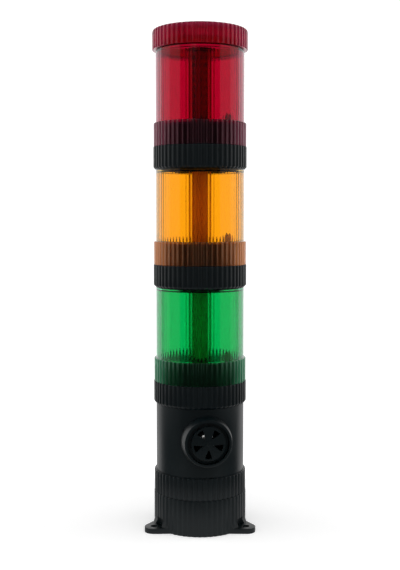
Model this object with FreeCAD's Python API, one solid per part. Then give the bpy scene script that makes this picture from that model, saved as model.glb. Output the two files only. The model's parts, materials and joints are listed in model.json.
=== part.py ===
"""Modular stack light: ribbed base, buzzer module, three light modules and a cap.

Millimetres, +Z up. The origin is the centre of the three fixing holes, on the mounting face.
Each module is drawn from its own lower face and then lifted to its place on the tower. The
modules couple by bayonets: a neck with lugs on top of each one goes up into the next one's foot.
"""
import FreeCAD, Part

import math
import os

# Radii, from the coupling rings inwards
ring_radius = 35.0  # rib crests of the base and the coupling rings
skirt_step = 0.3  # a skirt's crests lie this far inside the ring's
tube_step = 1.8  # the smooth tubes lie this far inside the ring's crests
cap_step = 0.6  # the cap's crests stand this far outside the ring's
shoulder_width = 2.0
neck_wall = 2.0
lug_reach = 1.4
lens_wall = 2.2
skirt_wall = 1.8
plug_wall = 2.0
seat_step = 0.8
fit_gap = 0.3

# Ribs
rib_count = 54
rib_depth = 0.7
base_rib_depth = 0.4
crest_share = 0.42  # share of the rib pitch that is crest
root_share = 0.30

# Heights
base_height = 27.0
buzzer_skirt_height = 16.5
buzzer_wall_height = 51.5
collar_height = 16.8
lens_skirt_height = 17.4
lens_wall_height = 53.8
cap_height = 14.5
cap_crown = 2.6
cap_wall = 2.2
cap_round = 2.0
edge_chamfer = 0.5
collar_chamfer = 1.5
base_chamfer = 1.0

# Bayonet
ledge_height = 3.0
lug_height = 2.4
lug_count = 3
lug_span = 20.0  # degrees
twist_angle = 26.0  # degrees from the locked stop to the entry gaps
entry_clearance = 1.5  # degrees each side of a lug
stop_clearance = 0.6  # degrees between a lug and its stop
stop_span = 5.0
chamber_depth = 5.5
seal_width = 0.8
seal_depth = 0.8
seal_inset = 0.4

# Base
ear_reach = 5.0  # from the rib crests out to a fixing hole
ear_angles = (90.0, 210.0, 330.0)
ear_radius = 6.9
ear_thickness = 3.8
ear_round = 0.8
ear_flare = 28.0  # degrees that an ear widens each side towards the body
fixing_hole_radius = 2.6
gusset_height = 3.8
gusset_reach = 2.6
pocket_radius = 5.2
pocket_inset = 2.4  # from the fixing hole towards the body
pocket_height = 5.4
floor_thickness = 2.5
cable_hole_radius = 11.0
gasket_inset = 11.0  # gasket's inner edge inside the rib crests
gasket_width = 4.0
gasket_thickness = 1.2

# Terminal carrier
carrier_thickness = 2.0
carrier_drop = 3.0  # carrier's upper face below the base's shoulder
post_radius = 3.4
post_inset = 5.2  # post centres inside the neck's bore
post_angles = (30.0, 150.0, 270.0)
carrier_screw_radius = 1.5
carrier_screw_head_radius = 2.7
carrier_screw_head_height = 1.2
carrier_screw_length = 9.0
terminal_gap = 1.2  # between a terminal block and the neck's bore
terminal_depth = 7.0
terminal_span = 50.0  # degrees of each terminal block
terminal_height = 7.0
terminal_angles = (90.0, 210.0, 330.0)
terminal_screw_count = 3
terminal_screw_pitch = 15.0  # degrees
terminal_screw_radius = 1.7
terminal_well_depth = 2.0
window_margin = 2.5  # between a window's edge and a carrier screw's centre
window_undercut = 0.5  # window's inner edge inside the contact tower's wall
window_angles = (30.0, 150.0, 270.0)

# Contacts between modules
head_radius = 12.0
head_rise = 0.4
head_drop = 1.5
track_radii = (4.0, 7.0, 10.0)
track_width = 1.6
track_thickness = 0.3
pin_radius = 0.9
pin_angles = (0.0, 120.0, 240.0)
hub_gap = 1.0  # between a socket's hub and the terminal blocks
hub_wall = 1.6
hub_drop = 2.4
socket_thickness = 2.0
board_thickness = 1.6
board_margin = 1.4
board_post_height = 2.0
board_post_radius = 2.4
board_post_inset = 5.9  # post centres inside the plug's bore

# Light modules
colours = ("green", "amber", "red")
deck_thickness = 1.8
deck_drop = 1.6
flute_count = 72
flute_depth = 0.15
bead_depth = 0.2
bead_height = 2.0
bead_rise = 8.0
bead_span = 30.0
column_side = 10.0
column_wall = 1.6
column_turn = 36.0  # degrees from the column's faces square to +X
led_count = 9
led_pitch = 5.6
led_width = 2.8
led_height = 3.2
led_thickness = 0.8
capacitor_radius = 3.0
capacitor_height = 7.6
capacitor_inset = 5.4  # its centre inside the plug's bore
capacitor_angle = 326.0

# Buzzer
grille_turn = 9.0  # degrees from the front towards +X
grille_drop = 23.9  # grille's centre below the module's shoulder
boss_radius = 18.8
boss_face_radius = 17.4
boss_reach = 7.0  # boss face beyond the tube's surface
boss_wall = 2.0
grille_radius = 15.2  # flange that sits in the boss
grille_disc_radius = 12.7  # raised disc, with a groove round it in the boss
grille_height = 4.0
grille_wall = 1.5
flange_thickness = 1.2
grille_seat = 1.0
grille_seat_thickness = 1.6
wedge_count = 5
wedge_start = 3.8
wedge_end = 11.0
wedge_width = 5.3
hub_dot_radius = 1.3
hub_dot_rise = 0.4
sounder_depth = 12.0
sounder_wall = 2.4
recess_depth = 5.0
dome_radius = 7.0
dome_rim = 1.0
dome_rise = 2.4

# Derived sizes
skirt_radius = ring_radius - skirt_step
tube_radius = ring_radius - tube_step
cap_radius = ring_radius + cap_step
neck_radius = tube_radius - shoulder_width
neck_bore = neck_radius - neck_wall
lug_radius = neck_radius + lug_reach
chamber_radius = lug_radius + fit_gap
ledge_radius = neck_radius + fit_gap
neck_height = ledge_height + fit_gap + lug_height
chamber_top = ledge_height + chamber_depth
skirt_bore = skirt_radius - rib_depth - skirt_wall
plug_radius = skirt_bore - fit_gap
plug_bore = plug_radius - plug_wall
seat_bore = plug_bore + seat_step
socket_top = chamber_top + socket_thickness
board_floor = socket_top + board_post_height
board_top = board_floor + board_thickness
hole_circle_radius = ring_radius + ear_reach
gasket_radius = ring_radius - gasket_inset
post_circle_radius = neck_bore - post_inset
terminal_outer_radius = neck_bore - terminal_gap
terminal_inner_radius = terminal_outer_radius - terminal_depth
window_inner_radius = head_radius - window_undercut
window_radius = (post_circle_radius - window_margin - window_inner_radius) / 2
window_circle_radius = window_inner_radius + window_radius
hub_radius = terminal_inner_radius - hub_gap
board_post_circle_radius = plug_bore - board_post_inset
capacitor_circle_radius = plug_bore - capacitor_inset
buzzer_height = buzzer_skirt_height + buzzer_wall_height
grille_rise = buzzer_height - grille_drop
light_height = collar_height + lens_skirt_height + lens_wall_height
skirt_top = collar_height + lens_skirt_height
track_top = head_rise + track_thickness
pin_tip = track_top + fit_gap

UP = FreeCAD.Vector(0, 0, 1)
CENTRE = FreeCAD.Vector(0, 0, 0)


def point(radius, height):
    return FreeCAD.Vector(radius, 0, height)


def cylinder(radius, low, high):
    return Part.makeCylinder(radius, high - low, FreeCAD.Vector(0, 0, low))


def ring(inner, outer, low, high):
    return cylinder(outer, low, high).cut(cylinder(inner, low, high))


def ring_sector(inner, outer, low, high, middle_angle, span):
    """Part of a ring, centred on middle_angle, in degrees."""
    base = FreeCAD.Vector(0, 0, low)
    outside = Part.makeCylinder(outer, high - low, base, UP, span)
    sector = outside.cut(cylinder(inner, low, high))
    return turned_by(sector, middle_angle - span / 2)


def turned_by(shape, angle):
    copy = shape.copy()
    copy.rotate(CENTRE, UP, angle)
    return copy


def lifted(shape, height):
    copy = shape.copy()
    copy.translate(FreeCAD.Vector(0, 0, height))
    return copy


def at_polar(shape, radius, angle):
    """Move a shape drawn on the Z axis out to a radius and an angle."""
    moved = shape.copy()
    moved.translate(FreeCAD.Vector(radius, 0, 0))
    return turned_by(moved, angle)


def revolved(edges):
    """Solid of revolution about Z from the edges of a closed outline in the XZ plane."""
    outline = Part.Face(Part.Wire(edges))
    return outline.revolve(CENTRE, UP, 360)


def turned(corners):
    """Solid of revolution from (radius, height) corners."""
    points = [point(radius, height) for radius, height in corners]
    return revolved(Part.makePolygon(points + points[:1]).Edges)


def dome_edge(rim_radius, rim_height, rise):
    """Arc from a rim up to the axis, level at its top."""
    curve = (rim_radius ** 2 + rise ** 2) / (2 * rise)
    centre = rim_height + rise - curve
    half_turn = math.asin(rim_radius / curve) / 2
    middle = point(curve * math.sin(half_turn), centre + curve * math.cos(half_turn))
    return Part.Arc(point(rim_radius, rim_height), middle, point(0, rim_height + rise)).toShape()


def joined(*shapes):
    return shapes[0].multiFuse(list(shapes[1:])).removeSplitter()


def cut_from(shape, *tools):
    return shape.cut(list(tools)).removeSplitter()


def on_circle(radius, angle, height=0.0):
    turn = math.radians(angle)
    return FreeCAD.Vector(radius * math.cos(turn), radius * math.sin(turn), height)


def ribbed_prism(crest_radius, depth, low, high):
    """Round bar whose outside carries rib_count upright ribs with sloping flanks."""
    pitch = 360.0 / rib_count
    root_radius = crest_radius - depth
    corners = []
    for index in range(rib_count):
        middle = -90.0 + index * pitch
        crest = crest_share * pitch / 2
        root = root_share * pitch / 2
        corners.append(on_circle(crest_radius, middle - crest, low))
        corners.append(on_circle(crest_radius, middle + crest, low))
        corners.append(on_circle(root_radius, middle + pitch / 2 - root, low))
        corners.append(on_circle(root_radius, middle + pitch / 2 + root, low))
    outline = Part.Face(Part.makePolygon(corners + corners[:1]))
    return outline.extrude(FreeCAD.Vector(0, 0, high - low))


def fluted_bore(radius, low, high):
    """Many-sided bar that cuts the flutes of a lens: its corners reach the full radius."""
    corners = []
    for index in range(flute_count):
        angle = index * 360.0 / flute_count
        half_pitch = 180.0 / flute_count
        corners.append(on_circle(radius, angle, low))
        corners.append(on_circle(radius - flute_depth, angle + half_pitch, low))
    outline = Part.Face(Part.makePolygon(corners + corners[:1]))
    return outline.extrude(FreeCAD.Vector(0, 0, high - low))


def lug_angles():
    return [index * 360.0 / lug_count for index in range(lug_count)]


def neck(height):
    """Bayonet neck above a shoulder at the given height, with its lugs."""
    top = height + neck_height
    shapes = [ring(neck_bore, neck_radius, height, top)]
    for angle in lug_angles():
        lug = ring_sector(neck_bore, lug_radius, top - lug_height, top, angle, lug_span)
        shapes.append(lug)
    return shapes


def seal_groove(height):
    inner = neck_radius + seal_inset
    return ring(inner, inner + seal_width, height - seal_depth, height)


def foot_cavity():
    """Space inside a bayonet foot: lug chamber, its mouth, the entry gaps, less the stops."""
    cavity = cylinder(chamber_radius, ledge_height, chamber_top)
    mouth = cylinder(ledge_radius, 0, ledge_height)
    entry_span = lug_span + 2 * entry_clearance
    entries = []
    stops = []
    stop_shift = lug_span / 2 + stop_clearance + stop_span / 2
    for angle in lug_angles():
        released = angle - twist_angle
        entries.append(
            ring_sector(neck_bore, chamber_radius, 0, ledge_height, released, entry_span)
        )
        for middle in (angle + stop_shift, released - stop_shift):
            stops.append(
                ring_sector(
                    ledge_radius, chamber_radius, ledge_height, chamber_top, middle, stop_span
                )
            )
    return cavity.multiFuse([mouth] + entries).cut(stops)


def ribbed_ring(crest_radius, depth, height, chamfer):
    """Ribbed bar with its lower edge chamfered by the given size and a small upper chamfer."""
    envelope = turned(
        [
            (0, 0),
            (crest_radius - chamfer, 0),
            (crest_radius, chamfer),
            (crest_radius, height - edge_chamfer),
            (crest_radius - edge_chamfer, height),
            (0, height),
        ]
    )
    return ribbed_prism(crest_radius, depth, 0, height).common(envelope)


# Base


def ear():
    """One ear on +X: a rounded tip that widens towards the body, with a gusset at the wall."""
    flare = math.radians(ear_flare)
    inner = ring_radius - gusset_height
    tip_x = hole_circle_radius + ear_radius * math.sin(flare)
    tip_y = ear_radius * math.cos(flare)
    inner_y = tip_y + (tip_x - inner) * math.tan(flare)
    right = FreeCAD.Vector(tip_x, -tip_y, 0)
    left = FreeCAD.Vector(tip_x, tip_y, 0)
    end = FreeCAD.Vector(hole_circle_radius + ear_radius, 0, 0)
    inner_left = FreeCAD.Vector(inner, inner_y, 0)
    inner_right = FreeCAD.Vector(inner, -inner_y, 0)
    outline = Part.Wire(
        [
            Part.Arc(right, end, left).toShape(),
            Part.makeLine(left, inner_left),
            Part.makeLine(inner_left, inner_right),
            Part.makeLine(inner_right, right),
        ]
    )
    face = Part.Face(outline)
    plate = face.extrude(FreeCAD.Vector(0, 0, ear_thickness))
    rounded = [
        edge
        for edge in plate.Edges
        if edge.BoundBox.ZLength < fit_gap and edge.BoundBox.XMax > inner + fit_gap
    ]
    plate = plate.makeFillet(ear_round, rounded)
    gusset_top = ear_thickness + gusset_height
    cone = Part.makeCone(
        ring_radius + gusset_reach, ring_radius - base_rib_depth, gusset_top - ear_round,
        FreeCAD.Vector(0, 0, ear_round),
    )
    gusset = face.extrude(FreeCAD.Vector(0, 0, gusset_top)).common(cone)
    return plate.fuse(gusset)


def base_housing():
    ears = [turned_by(ear(), angle) for angle in ear_angles]
    drum = ribbed_ring(ring_radius, base_rib_depth, base_height, base_chamfer)
    top = base_height + neck_height
    body = drum.multiFuse(ears + neck(base_height))
    cavity = cylinder(neck_bore, floor_thickness, top)
    cuts = [cavity, cylinder(cable_hole_radius, 0, floor_thickness), seal_groove(base_height)]
    cuts.append(ring(gasket_radius, gasket_radius + gasket_width, 0, gasket_thickness))
    hole = cylinder(fixing_hole_radius, 0, ear_thickness)
    pocket = cylinder(pocket_radius, ear_thickness, ear_thickness + pocket_height)
    for angle in ear_angles:
        cuts.append(at_polar(hole, hole_circle_radius, angle))
        cuts.append(at_polar(pocket, hole_circle_radius - pocket_inset, angle))
    body = body.cut(cuts)
    post_top = base_height - carrier_drop - carrier_thickness
    post = cylinder(post_radius, floor_thickness - fit_gap, post_top)
    screw_hole = cylinder(carrier_screw_radius, post_top - carrier_screw_length, post_top)
    posts = [at_polar(post, post_circle_radius, angle) for angle in post_angles]
    holes = [at_polar(screw_hole, post_circle_radius, angle) for angle in post_angles]
    return cut_from(body.multiFuse(posts), *holes)


def base_gasket():
    return ring(
        gasket_radius + fit_gap, gasket_radius + gasket_width - fit_gap, 0, gasket_thickness
    )


def shoulder_seal(height):
    """Seal ring that fills the groove in a shoulder."""
    return seal_groove(height)


def terminal_screw_places():
    for block_angle in terminal_angles:
        for index in range(terminal_screw_count):
            shift = (index - (terminal_screw_count - 1) / 2) * terminal_screw_pitch
            yield block_angle + shift


def terminal_carrier():
    """Disc with a contact tower in its middle, terminal blocks round it and wire windows."""
    top = base_height - carrier_drop
    disc = cylinder(neck_bore - fit_gap, top - carrier_thickness, top)
    tower = cylinder(head_radius, top, base_height + head_rise)
    blocks = [
        ring_sector(
            terminal_inner_radius, terminal_outer_radius, top, top + terminal_height,
            angle, terminal_span,
        )
        for angle in terminal_angles
    ]
    window = cylinder(window_radius, top - carrier_thickness, top)
    cuts = [at_polar(window, window_circle_radius, angle) for angle in window_angles]
    screw_hole = cylinder(carrier_screw_radius + fit_gap, top - carrier_thickness, top)
    cuts += [at_polar(screw_hole, post_circle_radius, angle) for angle in post_angles]
    well_top = top + terminal_height
    well = cylinder(terminal_screw_radius + fit_gap, well_top - terminal_well_depth, well_top)
    well_circle = (terminal_inner_radius + terminal_outer_radius) / 2
    cuts += [at_polar(well, well_circle, angle) for angle in terminal_screw_places()]
    return cut_from(joined(disc, tower, *blocks), *cuts)


def terminal_screws():
    well_floor = base_height - carrier_drop + terminal_height - terminal_well_depth
    screw = cylinder(terminal_screw_radius, well_floor, well_floor + terminal_well_depth / 2)
    well_circle = (terminal_inner_radius + terminal_outer_radius) / 2
    return Part.makeCompound(
        [at_polar(screw, well_circle, angle) for angle in terminal_screw_places()]
    )


def carrier_screws():
    top = base_height - carrier_drop
    shank = cylinder(
        carrier_screw_radius, top - carrier_thickness - carrier_screw_length + fit_gap, top
    )
    head = cylinder(carrier_screw_head_radius, top, top + carrier_screw_head_height)
    screw = shank.fuse(head)
    return Part.makeCompound(
        [at_polar(screw, post_circle_radius, angle) for angle in post_angles]
    )


def contact_tracks(height):
    """Concentric brass tracks on a contact head whose module ends at the given height."""
    low = height + head_rise
    return Part.makeCompound(
        [
            ring(radius - track_width / 2, radius + track_width / 2, low, low + track_thickness)
            for radius in track_radii
        ]
    )


# Pieces that the buzzer and the light modules share


def contact_socket():
    """Disc under a module's board, with the hub that centres on the contact head below."""
    disc = cylinder(seat_bore - fit_gap, chamber_top, socket_top)
    hub = ring(hub_radius - hub_wall, hub_radius, -hub_drop, chamber_top)
    post = cylinder(board_post_radius, socket_top, board_floor)
    posts = [at_polar(post, board_post_circle_radius, angle) for angle in post_angles]
    hole = cylinder(pin_radius + fit_gap, chamber_top, socket_top)
    holes = [
        at_polar(hole, radius, angle) for radius, angle in zip(track_radii, pin_angles)
    ]
    return cut_from(joined(disc, hub, *posts), *holes)


def contact_pins():
    pin = cylinder(pin_radius, pin_tip, board_floor)
    return Part.makeCompound(
        [at_polar(pin, radius, angle) for radius, angle in zip(track_radii, pin_angles)]
    )


def circuit_board():
    return cylinder(plug_bore - board_margin, board_floor, board_top)


def contact_head(height):
    """Round head that closes the column and carries the tracks for the module above."""
    low = height - head_drop
    head = cylinder(head_radius, low, height + head_rise)
    recess = square_bar(column_side + 2 * fit_gap, low, height)
    return cut_from(head, recess)


def square_bar(side, low, high):
    corner = FreeCAD.Vector(-side / 2, -side / 2, low)
    return turned_by(Part.makeBox(side, side, high - low, corner), column_turn)


def contact_column(height):
    """Square tube that stands on the board and ends inside the contact head."""
    outside = square_bar(column_side, board_top, height)
    return outside.cut(square_bar(column_side - 2 * column_wall, board_top, height))


# Buzzer module


def facing_front(shape):
    """Turn a shape drawn along +Z from the tower's axis so that it faces out of the grille."""
    copy = shape.copy()
    copy.rotate(CENTRE, FreeCAD.Vector(1, 0, 0), 90)
    copy.rotate(CENTRE, UP, grille_turn)
    return lifted(copy, grille_rise)


def grille_face():
    """Distance of the grille's front face from the tower's axis."""
    return tube_radius + boss_reach


def buzzer_housing():
    skirt = ribbed_ring(skirt_radius, rib_depth, buzzer_skirt_height, edge_chamfer)
    tube = cylinder(tube_radius, 0, buzzer_height)
    face = grille_face()
    seat_front = face - grille_height
    seat_back = sounder_front()
    back = seat_back - sounder_depth - grille_seat
    bore = grille_radius + fit_gap
    boss = Part.makeCone(boss_radius, boss_face_radius, boss_reach, point(0, tube_radius), UP)
    boss_root = cylinder(boss_radius, plug_bore / 2, tube_radius)
    sleeve = cylinder(bore + boss_wall, back, seat_front)
    outside = joined(skirt, tube, facing_front(boss.fuse(boss_root)))
    neck_top = buzzer_height + neck_height
    cavity = cylinder(plug_bore, chamber_top, buzzer_height - shoulder_width)
    shell = outside.cut(
        [
            cavity,
            cylinder(neck_bore, chamber_top, neck_top),
            cylinder(seat_bore, chamber_top, socket_top),
            foot_cavity(),
            seal_groove(buzzer_height),
        ]
    )
    shell = shell.multiFuse(neck(buzzer_height) + [facing_front(sleeve)])
    return cut_from(
        shell,
        facing_front(cylinder(bore, seat_front, face)),
        facing_front(cylinder(grille_radius - grille_seat, back, face)),
        facing_front(cylinder(bore, back, seat_back)),
    )


def wedge(low, high):
    """One wedge opening of the grille, opening outwards along +X."""
    half_width = wedge_width / 2
    corner_x = math.sqrt(wedge_end ** 2 - half_width ** 2)
    apex = FreeCAD.Vector(wedge_start, 0, low)
    left = FreeCAD.Vector(corner_x, half_width, low)
    right = FreeCAD.Vector(corner_x, -half_width, low)
    end = FreeCAD.Vector(wedge_end, 0, low)
    outline = Part.Wire(
        [
            Part.makeLine(apex, right),
            Part.Arc(right, end, left).toShape(),
            Part.makeLine(left, apex),
        ]
    )
    return Part.Face(outline).extrude(FreeCAD.Vector(0, 0, high - low))


def buzzer_grille():
    """Hat-shaped grille: a raised disc with five wedge openings, and a flange round its foot."""
    face = grille_face()
    low = face - grille_height
    hollow = grille_disc_radius - grille_wall
    hat = turned(
        [
            (0, face - grille_wall),
            (hollow, face - grille_wall),
            (hollow, low),
            (grille_radius, low),
            (grille_radius, low + flange_thickness),
            (grille_disc_radius, low + flange_thickness),
            (grille_disc_radius, face - edge_chamfer),
            (grille_disc_radius - edge_chamfer, face),
            (0, face),
        ]
    )
    hat = hat.fuse(cylinder(hub_dot_radius, face, face + hub_dot_rise))
    opening = wedge(low, face)
    openings = [
        turned_by(opening, -90 + index * 360.0 / wedge_count) for index in range(wedge_count)
    ]
    return facing_front(cut_from(hat, *openings))


def sounder_front():
    """Distance of the sounder's front rim from the tower's axis."""
    return grille_face() - grille_height - grille_seat_thickness


def buzzer_sounder():
    """Round sounder case with a recess in its front."""
    front = sounder_front()
    recess_radius = grille_radius - sounder_wall
    case = turned(
        [
            (0, front - sounder_depth),
            (grille_radius, front - sounder_depth),
            (grille_radius, front),
            (recess_radius, front),
            (recess_radius, front - recess_depth),
            (0, front - recess_depth),
        ]
    )
    return facing_front(case)


def sounder_dome():
    """Metal dome that stands in the sounder's recess, seen through the grille's openings."""
    low = sounder_front() - recess_depth
    rim = low + dome_rim
    edges = [
        Part.makeLine(point(0, low), point(dome_radius, low)),
        Part.makeLine(point(dome_radius, low), point(dome_radius, rim)),
        dome_edge(dome_radius, rim, dome_rise),
        Part.makeLine(point(0, rim + dome_rise), point(0, low)),
    ]
    return facing_front(revolved(edges))


# Light modules


def bead_places():
    return [index * 120.0 + 60.0 for index in range(3)]


def collar():
    """Coupling ring, and the plug with its deck that the lens fits over, in one moulding."""
    band = ribbed_ring(ring_radius, rib_depth, collar_height, collar_chamfer)
    deck_top = skirt_top - deck_drop
    plug = cylinder(plug_radius, 0, deck_top)
    bead_low = collar_height + bead_rise
    beads = [
        ring_sector(
            plug_bore, plug_radius + bead_depth, bead_low, bead_low + bead_height, angle, bead_span
        )
        for angle in bead_places()
    ]
    return cut_from(
        joined(band, plug, *beads),
        cylinder(plug_bore, chamber_top, deck_top - deck_thickness),
        cylinder(seat_bore, chamber_top, socket_top),
        square_bar(column_side + 2 * fit_gap, chamber_top, deck_top),
        foot_cavity(),
    )


def lens():
    """Transparent tube with a ribbed skirt below and a bayonet neck above."""
    skirt = lifted(
        ribbed_ring(skirt_radius, rib_depth, lens_skirt_height, edge_chamfer), collar_height
    )
    tube = cylinder(tube_radius, skirt_top - edge_chamfer, light_height)
    body = skirt.multiFuse([tube] + neck(light_height))
    groove_low = collar_height + bead_rise - fit_gap
    groove_radius = plug_radius + bead_depth + fit_gap
    shoulder_low = light_height - shoulder_width - fit_gap
    return cut_from(
        body,
        cylinder(skirt_bore, collar_height, skirt_top),
        cylinder(groove_radius, groove_low, groove_low + bead_height + 2 * fit_gap),
        fluted_bore(tube_radius - lens_wall, skirt_top, shoulder_low),
        cylinder(neck_bore, shoulder_low, light_height + neck_height),
        seal_groove(light_height),
    )


def leds():
    """Rows of LEDs, one row up each face of the column."""
    low = skirt_top + led_height / 2
    chip = Part.makeBox(
        led_thickness, led_width, led_height,
        FreeCAD.Vector(column_side / 2, -led_width / 2, low),
    )
    chips = []
    for face in range(4):
        row = turned_by(chip, column_turn + face * 90.0)
        chips += [lifted(row, index * led_pitch) for index in range(led_count)]
    return Part.makeCompound(chips)


def capacitor():
    """Round-topped capacitor that stands on the carrier's deck."""
    low = skirt_top - deck_drop
    straight = low + capacitor_height - capacitor_radius
    edges = [
        Part.makeLine(point(0, low), point(capacitor_radius, low)),
        Part.makeLine(point(capacitor_radius, low), point(capacitor_radius, straight)),
        dome_edge(capacitor_radius, straight, capacitor_radius),
        Part.makeLine(point(0, straight + capacitor_radius), point(0, low)),
    ]
    return at_polar(revolved(edges), capacitor_circle_radius, capacitor_angle)


# Cap


def top_cap():
    side = cap_height - cap_round
    rim = cap_radius - cap_round
    corner = cap_round * math.sqrt(0.5)
    crown = cap_height + cap_crown
    envelope = revolved(
        [
            Part.makeLine(point(0, 0), point(cap_radius - edge_chamfer, 0)),
            Part.makeLine(
                point(cap_radius - edge_chamfer, 0), point(cap_radius, edge_chamfer)
            ),
            Part.makeLine(point(cap_radius, edge_chamfer), point(cap_radius, side)),
            Part.Arc(
                point(cap_radius, side), point(rim + corner, side + corner), point(rim, cap_height)
            ).toShape(),
            dome_edge(rim, cap_height, cap_crown),
            Part.makeLine(point(0, crown), point(0, 0)),
        ]
    )
    body = ribbed_prism(cap_radius, rib_depth, 0, crown).common(envelope)
    inside = cylinder(ledge_radius, ledge_height, cap_height - cap_wall)
    return cut_from(body, foot_cavity(), inside)


def light_module(colour):
    return {
        f"{colour}_collar": collar(),
        f"{colour}_socket": contact_socket(),
        f"{colour}_pins": contact_pins(),
        f"{colour}_board": circuit_board(),
        f"{colour}_capacitor": capacitor(),
        f"{colour}_column": contact_column(light_height),
        f"{colour}_leds": leds(),
        f"{colour}_lens": lens(),
        f"{colour}_head": contact_head(light_height),
        f"{colour}_tracks": contact_tracks(light_height),
        f"{colour}_seal": shoulder_seal(light_height),
    }


def base():
    return {
        "base_housing": base_housing(),
        "base_gasket": base_gasket(),
        "base_seal": shoulder_seal(base_height),
        "terminal_carrier": terminal_carrier(),
        "terminal_screws": terminal_screws(),
        "carrier_screws": carrier_screws(),
        "base_tracks": contact_tracks(base_height),
    }


def buzzer_module():
    return {
        "buzzer_housing": buzzer_housing(),
        "buzzer_grille": buzzer_grille(),
        "buzzer_sounder": buzzer_sounder(),
        "sounder_dome": sounder_dome(),
        "buzzer_socket": contact_socket(),
        "buzzer_pins": contact_pins(),
        "buzzer_board": circuit_board(),
        "buzzer_column": contact_column(buzzer_height),
        "buzzer_head": contact_head(buzzer_height),
        "buzzer_tracks": contact_tracks(buzzer_height),
        "buzzer_seal": shoulder_seal(buzzer_height),
    }


def tower():
    """Every node of the tower by name, in place."""
    nodes = base()
    height = base_height
    for name, shape in buzzer_module().items():
        nodes[name] = lifted(shape, height)
    height += buzzer_height
    for colour in colours:
        for name, shape in light_module(colour).items():
            nodes[name] = lifted(shape, height)
        height += light_height
    nodes["top_cap"] = lifted(top_cap(), height)
    return nodes


def main():
    os.makedirs("parts", exist_ok=True)
    for name, shape in tower().items():
        shape.exportStep(f"parts/{name}.step")


main()
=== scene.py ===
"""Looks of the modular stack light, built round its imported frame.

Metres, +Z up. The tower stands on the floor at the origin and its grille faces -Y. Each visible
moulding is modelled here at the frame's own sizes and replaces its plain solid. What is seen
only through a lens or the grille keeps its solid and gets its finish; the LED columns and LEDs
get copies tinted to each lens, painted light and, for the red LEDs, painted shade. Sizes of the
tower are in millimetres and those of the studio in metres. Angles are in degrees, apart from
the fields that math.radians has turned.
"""

import json
import logging
import math
from collections.abc import Callable, Sequence
from dataclasses import dataclass
from enum import Enum

import bpy
from mathutils import Matrix, Vector


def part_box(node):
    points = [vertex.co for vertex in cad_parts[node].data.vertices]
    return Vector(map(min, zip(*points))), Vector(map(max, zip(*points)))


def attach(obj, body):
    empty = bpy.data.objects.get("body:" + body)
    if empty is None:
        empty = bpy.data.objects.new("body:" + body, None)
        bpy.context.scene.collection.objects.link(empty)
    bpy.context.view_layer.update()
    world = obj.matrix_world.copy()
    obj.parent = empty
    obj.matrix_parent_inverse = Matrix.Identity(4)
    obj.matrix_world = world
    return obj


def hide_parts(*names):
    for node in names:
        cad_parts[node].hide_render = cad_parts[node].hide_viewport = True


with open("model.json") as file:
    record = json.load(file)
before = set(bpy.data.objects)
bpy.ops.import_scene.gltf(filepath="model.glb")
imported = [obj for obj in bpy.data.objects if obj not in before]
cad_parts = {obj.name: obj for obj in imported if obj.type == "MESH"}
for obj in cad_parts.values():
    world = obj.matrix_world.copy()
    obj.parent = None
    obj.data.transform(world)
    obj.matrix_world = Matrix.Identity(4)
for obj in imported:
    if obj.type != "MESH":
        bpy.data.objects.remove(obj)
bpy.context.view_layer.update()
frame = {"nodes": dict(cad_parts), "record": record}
log = logging.getLogger("stack_light")

MM = 0.001
RIB_COUNT = 54
STEPS_PER_RIB = 8
AROUND = RIB_COUNT * STEPS_PER_RIB  # steps of a turned piece that carries ribs
FINE = 128  # sides of a large round piece without ribs
ROUND = 96  # sides of a small round piece
COARSE = 48  # sides of a round piece that is hidden
WELD = 1e-6  # points closer than this, in metres, become one
SLACK = 0.02  # how far a point may lie from the surface that it counts to
OVERRUN = 1.0  # how far a cutting solid runs past what it cuts
APART = 0.1  # how far a limit stays clear of the surface that it leaves out
SUNK = 0.5  # how far a joined solid is sunk into its neighbour
FLAT = 32.0  # edges that turn by less are shaded smooth
CROWN_STEPS = 12
EASE_PIECES = 3  # pieces of a rounded corner or bevel
HAIR, CRISP, EDGE, ROUNDED, FULL, FILLET = 0.2, 0.3, 0.4, 0.5, 0.6, 0.8  # eases of a corner

Piece = bpy.types.Object
Colour = tuple[float, float, float]
Place = tuple[float, float, float]


class LensColour(Enum):
    """The light modules, from the lowest up."""

    GREEN = "green"
    AMBER = "amber"
    RED = "red"


class Blend(Enum):
    """How one solid is combined with another."""

    JOIN = "UNION"
    CUT = "DIFFERENCE"
    KEEP = "INTERSECT"


# Modelling


@dataclass(frozen=True)
class Corner:
    """One corner of a turned outline, with the length that eases it."""

    radius: float
    height: float
    ease: float = 0.0


def eased(corners: Sequence[Corner]) -> list[tuple[float, float]]:
    """Round the corners of a closed outline.

    Args:
        corners: the outline's corners in order.

    Returns:
        (radius, height) points in metres, the first one again at the end.
    """
    points: list[tuple[float, float]] = []
    for index, corner in enumerate(corners):
        here = Vector((corner.radius, corner.height))
        if corner.ease == 0.0:
            points.append((here.x * MM, here.y * MM))
            continue
        before = corners[index - 1]
        after = corners[(index + 1) % len(corners)]
        start = here + (Vector((before.radius, before.height)) - here).normalized() * corner.ease
        end = here + (Vector((after.radius, after.height)) - here).normalized() * corner.ease
        for piece in range(EASE_PIECES + 1):
            share = piece / EASE_PIECES
            spot = start.lerp(here, share).lerp(here.lerp(end, share), share)
            points.append((spot.x * MM, spot.y * MM))
    return points + points[:1]


def crowned(radius: float, rise: float, rim: float, start: float) -> list[Corner]:
    """Outline of an arched top.

    Args:
        radius: the arch's radius at its rim.
        rise: how far the middle stands above the rim.
        rim: the rim's height.
        start: radius at which the outline starts.

    Returns:
        Corners from the start in to the axis.
    """
    curve = (radius ** 2 + rise ** 2) / (2 * rise)
    corners = []
    for step in range(CROWN_STEPS + 1):
        reach = start * (1 - step / CROWN_STEPS)
        corners.append(Corner(reach, rim + (math.sqrt(curve ** 2 - reach ** 2) - curve + rise)))
    return corners


def bearing(spot: Vector) -> float:
    """Angle of a point about the Z axis, in degrees from +X."""
    return math.degrees(math.atan2(spot.y, spot.x))


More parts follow.
